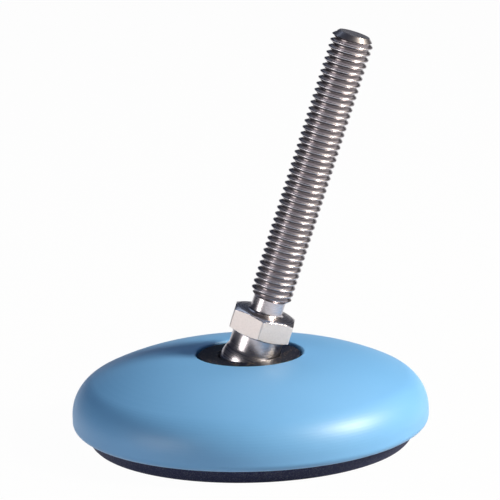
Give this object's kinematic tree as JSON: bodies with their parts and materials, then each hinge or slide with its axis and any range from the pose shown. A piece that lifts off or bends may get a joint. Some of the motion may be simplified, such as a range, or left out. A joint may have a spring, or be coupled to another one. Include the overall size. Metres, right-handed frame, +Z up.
{
  "type": "adjustable furniture foot",
  "caption": "Levelling foot: domed plastic base on a rubber pad, with a ball-ended threaded spindle that leans and turns in a snap-in socket.",
  "frame": {"origin": "middle of the pad's floor face", "axes": "+Z up from the floor; the spindle leans towards +X at rest; +Y completes a right-handed set"},
  "size_m": [0.1072, 0.1072, 0.1235],
  "materials": {
    "base_plastic": "satin moulded",
    "pad_rubber": "matte",
    "socket_plastic": "semi-gloss moulded",
    "spindle_steel": "turned stainless"
  },
  "bodies": {
    "base": {"base_body": "base_plastic", "rubber_pad": "pad_rubber"},
    "socket": {"ball_socket": "socket_plastic"},
    "spindle": {"spindle": "spindle_steel"}
  },
  "joints": [
    {"name": "socket_swivel", "type": "hinge", "parent": "base", "child": "socket", "pos_m": [0, 0, 0.02266], "axis": [0, 0, 1], "continuous": true},
    {"name": "spindle_tilt", "type": "hinge", "parent": "socket", "child": "spindle", "pos_m": [0, 0, 0.02266], "axis": [0, 1, 0], "range_deg": [-37, 0]}
  ]
}
